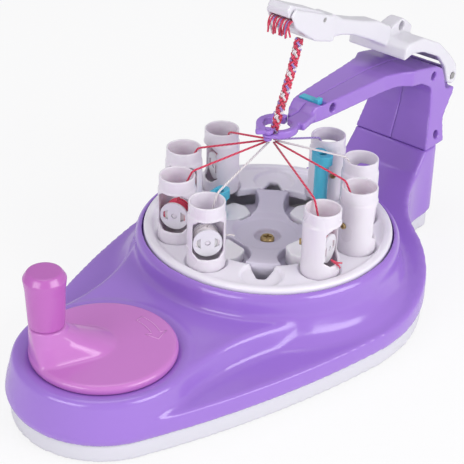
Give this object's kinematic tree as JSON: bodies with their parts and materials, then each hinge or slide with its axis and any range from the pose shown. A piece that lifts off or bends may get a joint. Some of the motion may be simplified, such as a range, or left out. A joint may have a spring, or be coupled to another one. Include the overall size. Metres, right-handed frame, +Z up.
{
  "type": "kumihimo braiding machine",
  "caption": "Hand-cranked round braiding machine: geared turntable with yarn pods, reversing star disc, braid guide arm over it and a lifting tension arm with a clip.",
  "frame": {"origin": "on the underside of the foot below the turntable axis, on the surface the machine stands on", "axes": "+Z up along the turntable axis, +X from the crank through the turntable to the column, +Y to the left seen from the crank"},
  "size_m": [0.3679, 0.195, 0.1958],
  "materials": {
    "white_cover": "smooth",
    "purple_shell": "glossy",
    "pink_crank": "glossy",
    "white_shell": "glossy",
    "lilac_disc": "satin",
    "cyan_parts": "glossy",
    "gear_plastic": "satin",
    "foot_rubber": "matte",
    "steel": "brushed",
    "brass_screw": "satin",
    "yarn_coral": "fibrous",
    "yarn_white": "fibrous",
    "yarn_lilac": "fibrous"
  },
  "bodies": {
    "root": {"bottom_cover": "white_cover", "rubber_feet": "foot_rubber", "base_screws": "steel", "top_housing": "purple_shell", "idler_pin": "steel", "crank_axle": "steel", "hub_screw": "brass_screw", "arm_shell_right": "purple_shell", "arm_shell_left": "purple_shell", "arm_screws": "steel", "gate_pin": "purple_shell", "tension_pin": "steel"},
    "turntable": {"outer_ring": "white_shell", "pod_screws": "brass_screw", "yarn_strands": "yarn_coral", "pod_cup_a": "white_shell", "pod_cup_b": "white_shell", "pod_cup_c": "white_shell", "pod_cup_d": "white_shell", "pod_cup_e": "white_shell", "pod_cup_f": "white_shell", "pod_cup_g": "white_shell", "pod_cup_h": "white_shell"},
    "crank": {"crank_disc": "pink_crank", "crank_gear": "gear_plastic", "knob_pin": "steel"},
    "knob": {"crank_knob": "pink_crank"},
    "idler": {"idler_gear": "gear_plastic"},
    "pinion": {"reversing_pinion": "gear_plastic"},
    "star": {"star_disc": "lilac_disc", "transfer_pads": "white_shell"},
    "lifter_tall": {"thread_lifter_tall": "cyan_parts"},
    "lifter_short": {"thread_lifter_short": "cyan_parts"},
    "gate": {"guide_gate": "purple_shell"},
    "catch": {"braid_catch": "cyan_parts"},
    "tension": {"tension_arm": "white_shell", "braid": "yarn_coral", "clip_pin": "steel"},
    "clip": {"clip_lever": "white_shell"},
    "bobbin_a": {"bobbin_a": "white_shell", "yarn_winding_a": "yarn_coral"},
    "bobbin_b": {"bobbin_b": "white_shell", "yarn_winding_b": "yarn_coral"},
    "bobbin_c": {"bobbin_c": "white_shell", "yarn_winding_c": "yarn_coral"},
    "bobbin_d": {"bobbin_d": "white_shell", "yarn_winding_d": "yarn_white"},
    "bobbin_e": {"bobbin_e": "white_shell", "yarn_winding_e": "yarn_lilac"},
    "bobbin_f": {"bobbin_f": "white_shell", "yarn_winding_f": "yarn_white"},
    "bobbin_g": {"bobbin_g": "white_shell", "yarn_winding_g": "yarn_coral"},
    "bobbin_h": {"bobbin_h": "white_shell", "yarn_winding_h": "yarn_coral"}
  },
  "joints": [
    {"name": "turntable_turn", "type": "hinge", "parent": "root", "child": "turntable", "pos_m": [0, 0, 0.05], "axis": [0, 0, 1], "continuous": true},
    {"name": "crank_turn", "type": "hinge", "parent": "root", "child": "crank", "pos_m": [-0.1435, 0, 0.038], "axis": [0, 0, 1], "continuous": true},
    {"name": "idler_turn", "type": "hinge", "parent": "root", "child": "idler", "pos_m": [-0.09278, 0, 0.026], "axis": [0, 0, 1], "continuous": true},
    {"name": "pinion_turn", "type": "hinge", "parent": "root", "child": "pinion", "pos_m": [0.042, 0, 0.026], "axis": [0, 0, 1], "continuous": true},
    {"name": "star_turn", "type": "hinge", "parent": "root", "child": "star", "pos_m": [0, 0, 0.045], "axis": [0, 0, 1], "continuous": true},
    {"name": "knob_spin", "type": "hinge", "parent": "crank", "child": "knob", "pos_m": [-0.1699, 0.01586, 0.075], "axis": [0, 0, 1], "continuous": true},
    {"name": "lifter_tall_slide", "type": "slide", "parent": "star", "child": "lifter_tall", "axis": [0, 0, 1], "range_m": [-0.0145, 0]},
    {"name": "lifter_short_slide", "type": "slide", "parent": "star", "child": "lifter_short", "axis": [0, 0, 1], "range_m": [0, 0.014]},
    {"name": "bobbin_a_spin", "type": "hinge", "parent": "turntable", "child": "bobbin_a", "pos_m": [-0.0159, 0.05369, 0.068], "axis": [-0.8616, -0.5075, 0], "continuous": true},
    {"name": "bobbin_b_spin", "type": "hinge", "parent": "turntable", "child": "bobbin_b", "pos_m": [-0.04443, 0.03409, 0.068], "axis": [-0.9239, -0.3827, 0], "continuous": true},
    {"name": "bobbin_c_spin", "type": "hinge", "parent": "turntable", "child": "bobbin_c", "pos_m": [0.01869, 0.05279, 0.068], "axis": [-0.8704, 0.4924, 0], "continuous": true},
    {"name": "bobbin_d_spin", "type": "hinge", "parent": "turntable", "child": "bobbin_d", "pos_m": [-0.05598, 0.00147, 0.068], "axis": [-0.6626, -0.749, 0], "continuous": true},
    {"name": "bobbin_e_spin", "type": "hinge", "parent": "turntable", "child": "bobbin_e", "pos_m": [0.05598, -0.00147, 0.068], "axis": [0.8616, 0.5075, 0], "continuous": true},
    {"name": "bobbin_f_spin", "type": "hinge", "parent": "turntable", "child": "bobbin_f", "pos_m": [0.04443, -0.03409, 0.068], "axis": [0.999, -0.0436, 0], "continuous": true},
    {"name": "bobbin_g_spin", "type": "hinge", "parent": "turntable", "child": "bobbin_g", "pos_m": [0.0159, -0.05369, 0.068], "axis": [0.8141, -0.5807, 0], "continuous": true},
    {"name": "bobbin_h_spin", "type": "hinge", "parent": "turntable", "child": "bobbin_h", "pos_m": [-0.01869, -0.05279, 0.068], "axis": [0.2164, -0.9763, 0], "continuous": true},
    {"name": "gate_swing", "type": "hinge", "parent": "root", "child": "gate", "pos_m": [-0.0052, -0.0012, 0.117], "axis": [0, 0, 1], "range_deg": [0, 75]},
    {"name": "catch_slide", "type": "slide", "parent": "root", "child": "catch", "axis": [0, -1, 0], "range_m": [0, 0.0026]},
    {"name": "tension_lift", "type": "hinge", "parent": "root", "child": "tension", "pos_m": [0.164, 0, 0.102], "axis": [0, 1, 0], "range_deg": [0, 50]},
    {"name": "clip_open", "type": "hinge", "parent": "tension", "child": "clip", "pos_m": [0.034, 0, 0.178], "axis": [0, 1, 0], "range_deg": [0, 30]}
  ],
  "couplings": [
    {"joint": "crank_turn", "follows": "turntable_turn", "ratio": 2.5455},
    {"joint": "idler_turn", "follows": "turntable_turn", "ratio": -2.9474},
    {"joint": "pinion_turn", "follows": "turntable_turn", "ratio": 3.3333},
    {"joint": "star_turn", "follows": "turntable_turn", "ratio": -2.5}
  ]
}
